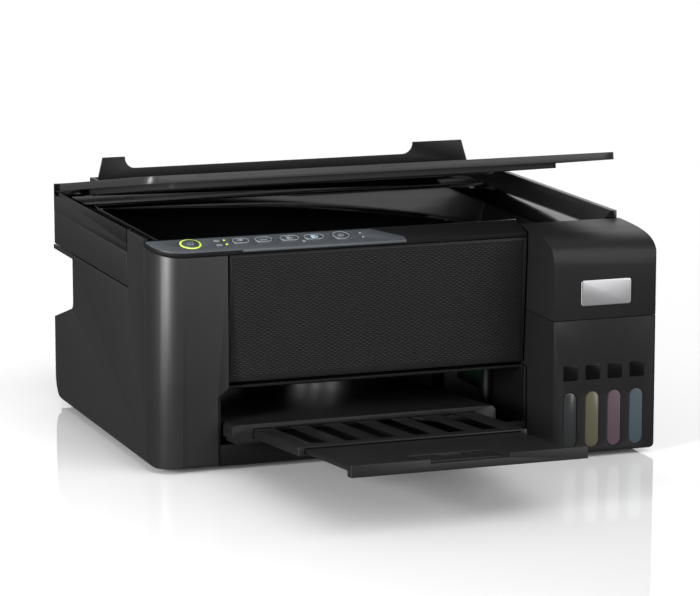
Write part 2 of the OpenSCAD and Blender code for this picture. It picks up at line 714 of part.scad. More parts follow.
// Buttons: name order left to right; x, place up the slope, width (0 for a round one)
buttons = [[-155.1, 15.2, 0], [-117, 15.2, 13.2], [-99.5, 15.2, 13.4], [-79.6, 15, 14.8],
    [-60.6, 14.6, 15.6], [-39.8, 14.4, 0]];
module button_shape(i, g) {
    b = buttons[i];
    if (b[2] == 0) circle(button_d / 2 + g);
    else rotate([0, 0, 90]) stadium(oval_h + 2 * g, b[2] + 2 * g);
}
ring_w = 1.5;
leds = [[-128.5, 18.7], [-128.5, 11.5], [-23.7, 17.5], [-23.7, 10.4]];
deck_v = deck_run / cos(deck_tilt);
deck_t = 3.2;
// Deck outline in x and distance up the slope, set in by an amount
module deck_outline(inset, x1) {
    cx = -hx + corner_r;
    difference() {
        union() {
            translate([cx, inset]) square([x1 - cx, deck_v - inset]);
            translate([cx, corner_r]) circle(corner_r - inset, $fn = 96);
        }
        translate([-hx - 1, deck_v]) square([2 * corner_r + 2, 2 * corner_r]);
        translate([cx, -1]) square([corner_r + 5, inset + 1]);
    }
}
module deck_plan() {
    deck_outline(0.6, panel_x0 + 10);
    translate([panel_x0, 1]) square([panel_x1 - panel_x0, deck_v - 1]);
}
// The grey plate's outline: follows the round corner, and tapers to a tip at its right end
module plate_plan(g) {
    difference() {
        deck_outline(0.9 - g, 7 + g);
        translate([-hx - 1, deck_v - 1.2 + g]) square([body_w, 5]);
        polygon([[7 + g, wall], [7 + g, wall + 4], [-17 + g, deck_v + 1], [hx, deck_v + 1], [hx, wall]]);
    }
    translate([panel_x0 + 2 - g, 1.8 - g]) square([-panel_x0 - 2 + 2 * g, wall + 1.2]);
}
module button_holes_2d() {
    for (b = [0:5]) translate([buttons[b][0], buttons[b][1]]) button_shape(b, button_gap);
}
module ring_hole_2d() {
    translate([buttons[0][0], buttons[0][1]]) circle(button_d / 2 + ring_w + 0.05);
}
module led_holes_2d() {
    for (p = leds) translate(p) circle(0.95);
}

module top_deck() color("#242424") place() {
    on_deck(0, 0, -deck_t) linear_extrude(deck_t - plate_t - 0.2) difference() {
        deck_plan();
        button_holes_2d();
        ring_hole_2d();
        led_holes_2d();
    }
    on_deck(0, 0, -plate_t - 0.25) linear_extrude(plate_t + 0.25) difference() {
        deck_plan();
        plate_plan(0.15);
    }
}

module control_panel() color("#53575b") place()
    on_deck(0, 0, -plate_t - 0.18) linear_extrude(plate_t + 0.48) difference() {
        plate_plan(0);
        button_holes_2d();
        ring_hole_2d();
        led_holes_2d();
    }

// Light guides: the ring round the power button and the small indicators
module panel_lights() color("#c5dc5a") place() {
    on_deck(buttons[0][0], buttons[0][1], -deck_t) difference() {
        cylinder(h = deck_t + 0.5, r = button_d / 2 + ring_w);
        translate([0, 0, -1]) cylinder(h = 9, r = button_d / 2 + button_gap);
    }
    for (p = leds) on_deck(p[0], p[1], -5.2) cylinder(h = 5.6, r = 0.9);
}

module panel_board() color("#1f5a34") place() on_deck(0, 0, -7.4) bx([-170, 6, 0], [-14, 22, 1.4]);

module deck_button(i) {
    on_deck(buttons[i][0], buttons[i][1], -4.6) linear_extrude(5.5) button_shape(i, 0);
}
module power_button() color("#3c3f42") place() deck_button(0);
module network_button() color("#4b4f53") place() deck_button(1);
module info_button() color("#4b4f53") place() deck_button(2);
module mono_button() color("#4b4f53") place() deck_button(3);
module colour_button() color("#4b4f53") place() deck_button(4);
module stop_button() color("#4b4f53") place() deck_button(5);

panel_t = 2.5;
module front_panel() color("#272727") place() {
    run_x(panel_x0, panel_x1) polygon([
        [face_y + 0.8, deck_z - 3.4], [face_y + 0.8 + panel_lean, panel_bottom_z],
        [face_y + 12, panel_bottom_z], [face_y + 12, panel_bottom_z + panel_t],
        [face_y + 0.8 + panel_lean + panel_t, panel_bottom_z + panel_t],
        [face_y + 0.9 + panel_t, deck_z - 9], [face_y + 18, deck_z - 9], [face_y + 18, deck_z - 7.5],
        [face_y + 0.9 + panel_t, deck_z - 7.5], [face_y + 0.9 + panel_t, deck_z - 3.4]]);
    for (x = [panel_x0, panel_x1 - 2]) run_x(x, x + 2) polygon([
        [face_y + 1, deck_z - 9], [face_y + 0.9 + panel_lean, panel_bottom_z],
        [face_y + 12, panel_bottom_z], [face_y + 12, deck_z - 9]]);
    // arms back to the scanner unit
    for (x = [-120, -20, 88]) bx([x, face_y + 10, deck_floor_z + 1], [x + 6, deck_back_y, deck_z - 8]);
}

// ---------- lid ----------
lid_front = face_y + 19.6;
lid_back = body_d - 9.6;
lid_r = 14;
module lid_plan(g) {
    translate([0, (lid_front + lid_back) / 2])
        rrect(body_w - 2 * g, lid_back - lid_front - 2 * g, lid_r - g);
}
scoop = [-146, -6];
module lid_shell() color("#4c4c4c") place() ajar()
    difference() {
        union() {
            difference() {
                translate([0, 0, rim_z + 0.4]) linear_extrude(lid_t - 0.4) lid_plan(0);
                translate([0, 0, rim_z - 1]) linear_extrude(lid_t - 1.6) lid_plan(2.4);
                for (s = [-1, 1])
                    bx([s * knuckle_x - 10, lid_pivot[0] - 8, rim_z - 1],
                        [s * knuckle_x + 10, lid_back + 1, rim_z + lid_t - 1.3]);
            }
            // knuckles and ribs
            for (s = [-1, 1]) {
                rod_x(s * knuckle_x - 6, s * knuckle_x + 6, lid_pivot[0], lid_pivot[1], 3.6);
                bx([s * knuckle_x - 6, lid_pivot[0] - 3.6, lid_pivot[1]],
                    [s * knuckle_x + 6, lid_pivot[0] + 2, rim_z + lid_t - 1]);
            }
            for (x = [-120 : 60 : 120]) bx([x - 1, lid_front + 1.4, rim_z + 1.2],
                [x + 1, lid_back - 16, rim_z + lid_t - 1]);
        }
        for (s = [-1, 1])
            rod_x(s * knuckle_x - 8, s * knuckle_x + 8, lid_pivot[0], lid_pivot[1], lid_pin_r + fit);
        // finger scoop along the front edge
        run_x(scoop[0], scoop[1]) translate([lid_front - 1, rim_z + 3.4]) square([2.2, 2.6]);
    }

module lid_mat() color("#e9e9e6") place() ajar()
    translate([0, 0, rim_z + 1.2 - mat_t]) linear_extrude(mat_t)
        translate([glass_cx, glass_cy]) rrect(glass_w + 8, glass_d + 8, 4);

// ---------- output tray ----------
module output_tray() color("#2f2f2f") place() on_tray()
    difference() {
        union() {
            bx([tray_cx - tray_w / 2 + 3, 0, -tray_t / 2], [tray_cx + tray_w / 2 - 3, 190, tray_t / 2]);
            bx([tray_cx - tray_w / 2, 0, -tray_t / 2 + 4], [tray_cx + tray_w / 2, 190, tray_t / 2 - 3]);
            for (s = [-1, 1]) translate([tray_cx + s * (tray_w / 2 - 4), 0, 3]) rotate([-90, 0, 0])
                cylinder(h = 190, r = 4);
        }
        // channel for the extensions, open to the front
        bx([tray_cx - ext_w / 2 - slide_gap, -1, -ext_t / 2 - slide_gap],
            [tray_cx + ext_w / 2 + slide_gap, ext_len + 8, ext_t / 2 + slide_gap]);
        for (i = [0:7]) bx([tray_cx - 80 + i * 21, 24, -tray_t],
            [tray_cx - 68 + i * 21, 180, -ext_t / 2 + 0.01]);
    }

module tray_middle() color("#3b3b3b") place() on_tray()
    difference() {
        bx([tray_cx - ext_w / 2, -ext_travel, -ext_t / 2],
            [tray_cx + ext_w / 2, ext_len - ext_travel, ext_t / 2]);
        bx([tray_cx - ext_w / 2 + 5 - slide_gap, -ext_travel - 1, -end_t / 2 - slide_gap],
            [tray_cx + ext_w / 2 - 5 + slide_gap, ext_len - ext_travel - 2, end_t / 2 + slide_gap]);
        for (i = [0:5]) bx([tray_cx - 72 + i * 26, -ext_travel + 14, end_t / 2],
            [tray_cx - 58 + i * 26, 4, ext_t]);
    }

end_y = -2 * ext_travel;
stop_w = 56;
module tray_end() color("#3b3b3b") place() on_tray()
    difference() {
        union() {
            bx([tray_cx - ext_w / 2 + 5, end_y, -end_t / 2],
                [tray_cx + ext_w / 2 - 5, end_y + end_len, end_t / 2]);
            // upturned front lip with a hooked edge
            bx([tray_cx - ext_w / 2, end_y - lip_t, -ext_t / 2], [tray_cx + ext_w / 2, end_y, 2]);
            bx([tray_cx - ext_w / 2, end_y - lip_t, 1.9], [tray_cx + ext_w / 2, end_y - lip_t + 3, 5]);
        }
        bx([tray_cx - stop_w / 2 - 1, end_y + 3, 0], [tray_cx + stop_w / 2 + 1, end_y + 36, end_t]);
        bx([tray_cx - stop_w / 2 - 1, end_y - lip_t - 1, 2],
            [tray_cx + stop_w / 2 + 1, end_y - lip_t + 4, 6]);
    }

stop_at = [end_y + 5, 1.2];
module tray_stopper() color("#444444") place() on_tray()
    difference() {
        union() {
            bx([tray_cx - stop_w / 2, end_y + 5, 0.35], [tray_cx + stop_w / 2, end_y + 33, 1.45]);
            rod_x(tray_cx - stop_w / 2, tray_cx + stop_w / 2, stop_at[0], stop_at[1], 0.5);
        }
        bx([tray_cx - 10, end_y + 22, 0], [tray_cx + 10, end_y + 40, 3]);
    }

// ---------- rear feed ----------
module rear_feeder() color("#262626") place()
    difference() {
        bx([feeder_cx - feeder_w / 2, feeder_y, 60], [feeder_cx + feeder_w / 2, feeder_back, feeder_top]);
        bx([feeder_cx - feeder_w / 2 + wall, feeder_y + 2.4, 63],
            [feeder_cx + feeder_w / 2 - wall, feeder_back - 2.4, 300]);
        // the front wall is lower, to carry the guard
        bx([feeder_cx - feeder_w / 2 + wall, feeder_y - 1, guard_pivot[1] - 3.4],
            [feeder_cx + feeder_w / 2 - wall, feeder_y + 6, 300]);
        // paper path into the body
        bx([-130, feeder_y - 1, 66], [88, feeder_y + 3, 92]);
        // sockets of the guard's pivots
        for (x = [feeder_cx - feeder_w / 2 + wall - 2.2, feeder_cx + feeder_w / 2 - wall - 0.3])
            rod_x(x, x + 2.5, guard_pivot[0], guard_pivot[1], 1.6);
    }

// Notched guard: two raised ears with a low middle between rounded corners
module feeder_guard() color("#323232") place() {
    z0 = guard_pivot[1];
    low = feeder_w / 2 - 3.6;
    run_y(guard_pivot[0] - 1.2, guard_pivot[0] + 1.2) difference() {
        polygon([[feeder_cx - low, z0 - 1.4], [feeder_cx + low, z0 - 1.4], [feeder_cx + low, z0 + 4.5],
            [feeder_cx + guard_right, z0 + 4.5], [feeder_cx + guard_right - 5, z0 + guard_h],
            [feeder_cx - guard_left + 4, z0 + guard_h], [feeder_cx - guard_left, z0 + 4.5],
            [feeder_cx - low, z0 + 4.5]]);
        translate([notch_cx, z0 + guard_h + 0.5]) {
            square([notch_w - 18, 20], center = true);
            translate([0, 0.5]) square([notch_w, 2], center = true);
            for (s = [-1, 1]) translate([s * (notch_w / 2 - 9), -1]) circle(9);
        }
    }
    rod_x(feeder_cx - 154.6, feeder_cx + 154.6, guard_pivot[0], z0, 1.5);
}

guard_left = feeder_w / 2 - 0.7;
guard_right = feeder_w / 2 + 3;
notch_cx = -4.7;
notch_w = 245;
support_at = [feeder_back - 6, feeder_top - 4];
module on_support() { translate([0, support_at[0], support_at[1]])
    rotate([-support_lean, 0, 0]) children(); }
module paper_support() color("#3a3a3a") place() on_support()
    difference() {
        bx([-20 - support_w / 2, -1.5, -106], [-20 + support_w / 2, 1.5, 0]);
        bx([-50, -3, -10], [10, 3, -4]);
        for (i = [0:5]) bx([-20 - support_w / 2 + 14 + i * 28, -3, -96],
            [-20 - support_w / 2 + 24 + i * 28, -0.5, -18]);
    }

// Edge guide: a plate that slides across the feeder and squares the paper
module edge_guide() color("#444444") place() {
    bx([-130.5, feeder_y + 5.2, 120], [-128, feeder_y + 9, feeder_top + 3]);
    bx([-133, feeder_y + 5.2, 120], [-128, feeder_y + 8, 134]);
}

// ---------- carriage and paper drive ----------
module feed_roller() color("#3a3a3a") place() {
    rod_x(pulley_x, frame_x1 + 14, feed_at[0], feed_at[1], 4);
    rod_x(-140, 34, feed_at[0], feed_at[1], 5.6);
    rod_x(pulley_x, pulley_x + 5, feed_at[0], feed_at[1], pulley_r);
}

module eject_roller() color("#4a4a4a") place() {
    rod_x(pulley_x, frame_x1 + 14, eject_at[0], eject_at[1], 4);
    for (i = [0:7]) rod_x(-136 + i * 22, -128 + i * 22, eject_at[0], eject_at[1], 6);
    rod_x(pulley_x, pulley_x + 5, eject_at[0], eject_at[1], pulley_r);
}

module carriage() color("#26282a") place()
    difference() {
        union() {
            bx([42, 158, 88], [96, 229, 122]);
            bx([48, 172, 80], [90, 200, 88.1]);
        }
        rod_x(30, 110, rail_at[0], rail_at[1], rail_r + fit);
        for (i = [0:3]) bx([46 + i * 12, 162, 100], [55 + i * 12, 196, 123]);
    }

base_pan();
left_cover();
right_cover();
rear_cover();
front_sill();
feet();
mech_frame();
carriage_rail();
platen();
capping_station();
main_board();
power_supply();
ac_inlet();
usb_port();
carriage_motor();
drive_belts();
hinge_brackets();
chassis_screws();
tank_case();
ink_tank_black();
ink_tank_yellow();
ink_tank_magenta();
ink_tank_cyan();
tank_labels();
cap_rod();
rear_feeder();
tank_cover();
badge_plate();
tank_cap_black();
tank_cap_yellow();
tank_cap_magenta();
tank_cap_cyan();
scanner_frame();
bed_frame();
scanner_glass();
scan_rod();
scan_bar();
top_deck();
control_panel();
panel_board();
panel_lights();
front_panel();
power_button();
network_button();
info_button();
mono_button();
colour_button();
stop_button();
lid_shell();
lid_mat();
output_tray();
tray_middle();
tray_end();
tray_stopper();
paper_support();
feeder_guard();
edge_guide();
carriage();
feed_roller();
eject_roller();
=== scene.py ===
"""Looks for an all-in-one inkjet printer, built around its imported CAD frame.

Every length is in metres unless a name ends in _mm.
"""

import json
import logging
import math
from dataclasses import dataclass, field
from enum import Enum

import bmesh
import bpy
import numpy as np
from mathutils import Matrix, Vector


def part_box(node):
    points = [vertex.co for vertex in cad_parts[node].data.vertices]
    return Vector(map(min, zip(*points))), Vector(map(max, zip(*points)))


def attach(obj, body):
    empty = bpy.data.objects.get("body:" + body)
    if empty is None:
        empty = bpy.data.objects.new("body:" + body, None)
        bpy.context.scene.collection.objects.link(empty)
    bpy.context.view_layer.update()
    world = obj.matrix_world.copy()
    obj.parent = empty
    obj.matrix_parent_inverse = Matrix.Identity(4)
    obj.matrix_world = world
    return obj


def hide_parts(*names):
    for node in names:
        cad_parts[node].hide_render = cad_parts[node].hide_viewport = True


log = logging.getLogger("printer")
MM = 0.001
Vec = tuple[float, float, float]
Rgba = tuple[float, float, float, float]


# ------------------------------------------------------------------ colour and nodes
def linear(hex_colour: str, alpha: float = 1.0) -> Rgba:
    """Turns an sRGB hex colour into linear RGBA.

    Args:
        hex_colour: six hex digits, with or without a leading hash.
        alpha: opacity to append.

    Returns:
        Linear red, green, blue and alpha.
    """
    digits = hex_colour.lstrip("#")
    channels = [int(digits[i:i + 2], 16) / 255 for i in (0, 2, 4)]
    return tuple(c / 12.92 if c <= 0.04045 else ((c + 0.055) / 1.055) ** 2.4 for c in channels) + (alpha,)


def add_node(tree: bpy.types.NodeTree, kind: str, links: dict | None = None, **settings) -> bpy.types.Node:
    """Adds one shader node with its settings and its incoming links.

    Args:
        tree: node tree to add to.
        kind: node type, such as ShaderNodeTexNoise.
        links: input socket name or index to the output socket that feeds it.
        **settings: attributes of the node, or values of its input sockets.

    Returns:
        The new node.
    """
    node = tree.nodes.new(kind)
    for name, value in settings.items():
        if hasattr(node, name):
            setattr(node, name, value)
        else:
            node.inputs[name.replace("_", " ")].default_value = value
    for socket, source in (links or {}).items():
        tree.links.new(source, node.inputs[socket])
    return node


class Grain(Enum):
    """How a surface was made, which sets its fine relief."""

    SPARK = "spark-eroded mould"
    POLISHED = "polished mould"
    LINED = "finely lined mould"
    BRUSHED = "brushed or rolled metal"
    FOAM = "open foam or felt"
    CIRCUIT = "printed circuit board"


# Grain size in millimetres and bump height in metres for each way of making a surface. Spark
# erosion is really about 0.1 mm across; it is drawn at 0.7 mm so that it shows.
GRAIN_SIZE_MM = {Grain.SPARK: 0.7, Grain.POLISHED: 14.0, Grain.LINED: 0.9, Grain.BRUSHED: 0.5,
                 Grain.FOAM: 1.1, Grain.CIRCUIT: 2.2}
GRAIN_DEPTH = {Grain.SPARK: 0.00004, Grain.POLISHED: 0.00001, Grain.LINED: 0.00005,
               Grain.BRUSHED: 0.00002, Grain.FOAM: 0.00015, Grain.CIRCUIT: 0.00008}


@dataclass(frozen=True)
class Finish:
    """One material: what it is made of and how its surface was made.

    Attributes:
        name: the finish's plain name.
        colour: sRGB hex of the material itself.
        roughness: mean roughness; it varies by a few hundredths with handling.
        grain: how the surface was made.
        metallic: 1 for bare metal.
        ior: index of refraction of the plastic or glass.
        coat: weight of a clear gloss over the colour.
        transmission: share of light let through.
        glow: strength of emission in the finish's own colour.
        shade: how far the colour drifts over a few centimetres, as a factor.
    """

    name: str
    colour: str
    roughness: float
    grain: Grain = Grain.SPARK
    metallic: float = 0.0
    ior: float = 1.5
    coat: float = 0.0
    transmission: float = 0.0
    glow: float = 0.0
    shade: float = 0.08

    def material(self) -> bpy.types.Material:
        """Builds the material once, and returns the same one after that."""
        made = bpy.data.materials.get(self.name)
        if made:
            return made
        made = bpy.data.materials.new(self.name)
        made.use_nodes = True
        tree = made.node_tree
        tree.nodes.clear()
        place = add_node(tree, "ShaderNodeTexCoord").outputs["Object"]
        grain_freq = 1 / (GRAIN_SIZE_MM[self.grain] * MM)
        stretch = {Grain.LINED: (0.04, 0.04, 1.0), Grain.BRUSHED: (0.03, 1.0, 1.0)}.get(self.grain, (1, 1, 1))
        turned = add_node(tree, "ShaderNodeMapping", {"Vector": place}, Scale=stretch)
        relief = add_node(tree, "ShaderNodeTexNoise", {"Vector": turned.outputs[0]},
                          Scale=grain_freq, Detail=2.0, Roughness=0.55)
        # slow drift of colour and gloss over 40 mm: handling and moulding flow
        drift = add_node(tree, "ShaderNodeTexNoise", {"Vector": place}, Scale=25.0, Detail=3.0)
        base = linear(self.colour)
        dark = tuple(c * (1 - self.shade) for c in base[:3]) + (1.0,)
        light = tuple(min(1.0, c * (1 + self.shade)) for c in base[:3]) + (1.0,)
        tint = add_node(tree, "ShaderNodeMix", {"Factor": drift.outputs["Fac"]}, data_type="RGBA")
        tint.inputs["A"].default_value = dark
        tint.inputs["B"].default_value = light
        gloss = add_node(tree, "ShaderNodeMapRange", {"Value": drift.outputs["Fac"]})
        gloss.inputs["To Min"].default_value = max(0.0, self.roughness - 0.04)
        gloss.inputs["To Max"].default_value = min(1.0, self.roughness + 0.04)
        bump = add_node(tree, "ShaderNodeBump", {"Height": relief.outputs["Fac"]}, Strength=1.0)
        bump.inputs["Distance"].default_value = GRAIN_DEPTH[self.grain]
        shader = add_node(tree, "ShaderNodeBsdfPrincipled",
                          {"Base Color": tint.outputs["Result"], "Roughness": gloss.outputs["Result"],
                           "Normal": bump.outputs["Normal"]},
                          Metallic=self.metallic)
        if not self.metallic:
            shader.inputs["IOR"].default_value = self.ior
        shader.inputs["Coat Weight"].default_value = self.coat
        shader.inputs["Coat Roughness"].default_value = 0.05
        shader.inputs["Transmission Weight"].default_value = self.transmission
        if self.glow:
            shader.inputs["Emission Color"].default_value = base
            shader.inputs["Emission Strength"].default_value = self.glow
        add_node(tree, "ShaderNodeOutputMaterial", {"Surface": shader.outputs[0]})
        return made


# Black ABS: moulded against a spark-eroded tool, it looks soft charcoal with broad, dim highlights.
ABS_IOR = 1.36
SHELL = Finish("charcoal_abs_spark_eroded", "#111112", 0.42, ior=ABS_IOR)
# The side and corner are the same ABS, coloured lighter than the front as a painted sheen for the light on the
# side; their broad sheen is smoother than the front's.
SIDE_PAINTED_SHEEN = Finish("charcoal_abs_fine_texture", "#19191a", 0.38, ior=ABS_IOR)
# The ink unit's cover carries fine level lines, which stretch its highlight sideways.
LINED = Finish("charcoal_abs_lined", "#19191a", 0.42, Grain.LINED, ior=1.28)
# Unlit inner mouldings: plain black ABS, coloured darker than the covers as painted shade for their place inside
# the body, and duller than the covers.
INNER_PAINTED_SHADE = Finish("black_abs_inner", "#060607", 0.55, ior=1.3)
# Scanner bed: polished black ABS, a near mirror at low angles.
GLOSS = Finish("black_abs_polished", "#040405", 0.12, Grain.POLISHED, ior=1.53, shade=0.02)
# Sloping rim of the scanner bed, on its right part: satin ABS coloured lighter grey than the bed's polished
# black, a painted highlight on the same moulding.
RIM_PAINTED_HIGHLIGHT = Finish("charcoal_abs_satin_rim", "#232324", 0.33, ior=ABS_IOR)
# Lid: a touch lighter than the body, satin.
LID = Finish("graphite_abs_satin", "#262627", 0.36, ior=ABS_IOR)
# Control plate: slate grey ABS, painted, very fine texture.
SLATE = Finish("slate_painted_abs", "#474b4f", 0.42, shade=0.04)
BUTTON = Finish("slate_painted_button", "#43474b", 0.40, shade=0.04)
# Printed outlines and icons: pale pad-printed ink.
PRINT = Finish("pale_pad_print", "#98a0a5", 0.5, Grain.POLISHED, shade=0.03)
# The blue print also glows faintly: a painted glow, as printed ink gives no light.
PRINT_BLUE_PAINTED_GLOW = Finish("pale_blue_pad_print", "#b9d6ea", 0.5, Grain.POLISHED, glow=0.15, shade=0.03)
# Light guides: clear acrylic lit from behind.
GREEN_RING = Finish("lit_green_acrylic", "#b9d84a", 0.25, Grain.POLISHED, glow=0.75, shade=0.02)
# Flatbed glass: float glass over a black cavity, seen as a dark mirror.
GLASS = Finish("float_glass_dark", "#050606", 0.04, Grain.POLISHED, ior=1.52, shade=0.02)
# Pressing mat: charcoal closed-cell foam.
FOAM = Finish("charcoal_foam_mat", "#1a1a1b", 0.85, Grain.FOAM)
# Tray stages: charcoal ABS, plain texture, dim broad sheen.
TRAY = Finish("charcoal_abs_tray", "#141415", 0.40, ior=ABS_IOR)
# Small stamped parts: zinc-plated steel, pale and faintly streaked.
STEEL = Finish("zinc_plated_steel", "#b4b7ba", 0.34, Grain.BRUSHED, metallic=1.0)
# Chassis sheet: steel coloured near black, a painted shade, so that the output opening stays dark.
STEEL_PAINTED_SHADE = Finish("black_powder_coated_steel", "#0b0b0c", 0.6, ior=1.4)
# Guide rods: ground steel, bright along their length.
CHROME = Finish("ground_steel_rod", "#c6c8ca", 0.18, Grain.BRUSHED, metallic=1.0)
# Circuit boards: dark green solder mask with a slight gloss.
BOARD = Finish("green_solder_mask", "#113a24", 0.35, Grain.CIRCUIT)
# Feet, belts and rollers: nitrile rubber, dull black.
RUBBER = Finish("black_nitrile_rubber", "#161616", 0.75, Grain.FOAM)
# Badge: blank metallised label, satin silver.
SILVER = Finish("silver_metallised_label", "#bdbdbf", 0.32, Grain.BRUSHED, metallic=0.85)
# Blank label squares: gloss black film, darker than the case.
LABEL = Finish("gloss_black_label", "#040405", 0.30, Grain.POLISHED, ior=1.3)
# Mains inlet: black nylon, semi-matt.
SOCKET = Finish("black_nylon_socket", "#101011", 0.5)


@dataclass(frozen=True)
class InkColour:
    """One of the four inks: the tint of its tank window and the colour of its cap."""

    name: str
    window: str
    cap: str


INKS = (InkColour("black", "#232425", "#1c1c1d"), InkColour("yellow", "#494636", "#a98d1f"),
        InkColour("magenta", "#493a43", "#8c2e5c"), InkColour("cyan", "#384249", "#24688c"))


# ------------------------------------------------------------------ meshes
def mesh_object(name: str, verts: np.ndarray, faces: np.ndarray | list, finish: Finish,
                smooth: bool = True) -> bpy.types.Object:
    """Makes an object at the origin from vertex and face arrays.

    Args:
        name: object name.
        verts: N by 3 positions in metres.
        faces: rows of vertex indices.
        finish: material for the whole piece.
        smooth: shade smooth, with sharp edges split by angle.

    Returns:
        The new object, linked to the scene.
    """
    mesh = bpy.data.meshes.new(name)
    mesh.from_pydata(np.asarray(verts, dtype=float).tolist(), [], [list(map(int, f)) for f in faces])
    mesh.update()
    mesh.polygons.foreach_set("use_smooth", np.full(len(mesh.polygons), smooth))
    obj = bpy.data.objects.new(name, mesh)
    bpy.context.scene.collection.objects.link(obj)
    mesh.materials.append(finish.material())
    return obj


def grid_faces(rows: int, cols: int, wrap_rows: bool = False, wrap_cols: bool = False) -> np.ndarray:
    """Quads that join a grid of rows by cols vertices, closed along either way if asked."""
    r = np.arange(rows if wrap_rows else rows - 1)[:, None]
    c = np.arange(cols if wrap_cols else cols - 1)[None, :]
    below, right = (r + 1) % rows, (c + 1) % cols
    return np.stack([r * cols + c, r * cols + right, below * cols + right, below * cols + c], -1).reshape(-1, 4)


def soft_copy(node: str, finish: Finish, width_mm: float = 0.5, segments: int = 3,
              second: Finish | None = None, beyond_x: float = 0.0) -> bpy.types.Object:
    """Replaces a CAD node by a copy with merged vertices and rounded edges.

    Coplanar triangles are dissolved first, so that the bevel follows the real edges only.

    Args:
        node: CAD node to copy.
        finish: its material.
        width_mm: bevel width.
        segments: bevel segments.
        second: another finish, for the faces whose centre lies beyond beyond_x.
        beyond_x: where the second finish starts, in metres.

    Returns:
        The new piece, riding on the node's body.
    """
    source = FRAME["nodes"][node]
    mesh = source.data.copy()
    work = bmesh.new()
    work.from_mesh(mesh)
    bmesh.ops.remove_doubles(work, verts=work.verts, dist=2e-6)
    bmesh.ops.dissolve_limit(work, angle_limit=math.radians(0.5), verts=work.verts, edges=work.edges)
    work.to_mesh(mesh)
    work.free()
    mesh.materials.clear()
    mesh.materials.append(finish.material())
    mesh.polygons.foreach_set("use_smooth", np.full(len(mesh.polygons), True))
    if second:
        mesh.materials.append(second.material())
        centres = np.empty(len(mesh.polygons) * 3, np.float32)
        mesh.polygons.foreach_get("center", centres)
        mesh.polygons.foreach_set("material_index", (centres[::3] > beyond_x).astype(np.int32))
    piece = bpy.data.objects.new(node + "_skin", mesh)
    bpy.context.scene.collection.objects.link(piece)
    bevel = piece.modifiers.new("rounded_edges", "BEVEL")
    bevel.width = width_mm * MM
    bevel.segments = segments
    bevel.limit_method = "ANGLE"
    bevel.angle_limit = math.radians(28)
    bevel.use_clamp_overlap = True
    bevel.miter_outer = "MITER_ARC"
    bevel.harden_normals = True
    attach(piece, body_of_node(node))
    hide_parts(node)
    log.info("%s stands for %s", piece.name, node)
    return piece


def body_of_node(node: str) -> str:
    """The body that a CAD node rides on."""
    return NODE_BODY[node]


def add_piece(piece: bpy.types.Object, body: str) -> bpy.types.Object:
    """Declares a new piece and the body it rides on."""
    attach(piece, body)
    log.info("%s rides on %s", piece.name, body)
    return piece


def dress(finish: Finish, *nodes: str) -> None:
    """Gives carried-over CAD nodes a finish."""
    for node in nodes:
        data = FRAME["nodes"][node].data
        data.materials.clear()
        data.materials.append(finish.material())


def lo_hi(node: str) -> tuple[np.ndarray, np.ndarray]:
    """Lowest and highest corner of a CAD node at rest, as arrays."""
    low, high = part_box(node)
    return np.array(low), np.array(high)


@dataclass
class Deck:
    """The sloping control deck: places points given as x, distance up the slope and height."""

    tilt: float = math.radians(15)
    run: float = 24 * MM
    plate_t: float = 1.98 * MM

    def frame(self) -> tuple[np.ndarray, np.ndarray, np.ndarray]:
        """Origin at the deck's front edge, the up-slope direction and the outward normal."""
        high = lo_hi("control_panel")[1]
        up = np.array([0.0, math.cos(self.tilt), math.sin(self.tilt)])
        out = np.array([0.0, -math.sin(self.tilt), math.cos(self.tilt)])
        # the plate's lower face reaches farthest back; step forward to its upper face
        top = np.array([0.0, high[1] - self.plate_t * math.sin(self.tilt), high[2]])
        origin = top - up * (self.run / math.cos(self.tilt) - 1.2 * MM)
        return origin, up, out

    def points(self, x: np.ndarray, v: np.ndarray, w: np.ndarray) -> np.ndarray:
        """Points at x along the body, v up the slope and w out of the plate's face."""
        origin, up, out = self.frame()
        return (np.stack([x, np.zeros_like(x), np.zeros_like(x)], -1) + origin
                + v[..., None] * up + w[..., None] * out)

    def stroke(self, name: str, path: np.ndarray, width: float, height: float, finish: Finish,
               closed: bool = True) -> bpy.types.Object:
        """A thin raised line along a path on the deck.

        The path's left and right offsets form four rails: two low, two high, joined round.

        Args:
            name: piece name.
            path: N by 2 points in x and v, metres.
            width: line width.
            height: height over the face.
            finish: its material.
            closed: join the last point to the first.

        Returns:
            The new piece.
        """
        ahead = np.roll(path, -1, 0) if closed else np.vstack([path[1:], path[-1:] * 2 - path[-2:-1]])
        behind = np.roll(path, 1, 0) if closed else np.vstack([path[:1] * 2 - path[1:2], path[:-1]])
        along = ahead - behind
        along /= np.linalg.norm(along, axis=1, keepdims=True) + 1e-12
        side = np.stack([-along[:, 1], along[:, 0]], -1) * width / 2
        rails = [path - side, path - side * 0.8, path + side * 0.8, path + side]
        tops = [-0.05 * MM, height, height, -0.05 * MM]
        ring = np.stack([self.points(r[:, 0], r[:, 1], np.full(len(r), t)) for r, t in zip(rails, tops)], 1)
        last = len(path) * 4 - 1
        faces = grid_faces(len(path), 4, closed, True)[:, ::-1].tolist()
        if not closed:
            faces += [[0, 1, 2, 3], [last, last - 1, last - 2, last - 3]]
        return mesh_object(name, ring.reshape(-1, 3), faces, finish)


def join(name: str, parts: list[bpy.types.Object]) -> bpy.types.Object:
    """Joins pieces that share a body into one object with a shared material list."""
    with bpy.context.temp_override(active_object=parts[0], selected_editable_objects=parts):
        bpy.ops.object.join()
    parts[0].name = name
    return parts[0]


def oval(cx: float, cv: float, width: float, height: float, count: int = 48) -> np.ndarray:
    """A stadium outline: half circles at both ends, with straight stretches between."""
    r = height / 2
    t = np.linspace(0, 2 * np.pi, count, endpoint=False)
    shift = np.where(np.cos(t) >= 0, 1, -1) * max(0.0, (width - height) / 2)
    return np.stack([cx + shift + r * np.cos(t), cv + r * np.sin(t)], -1)


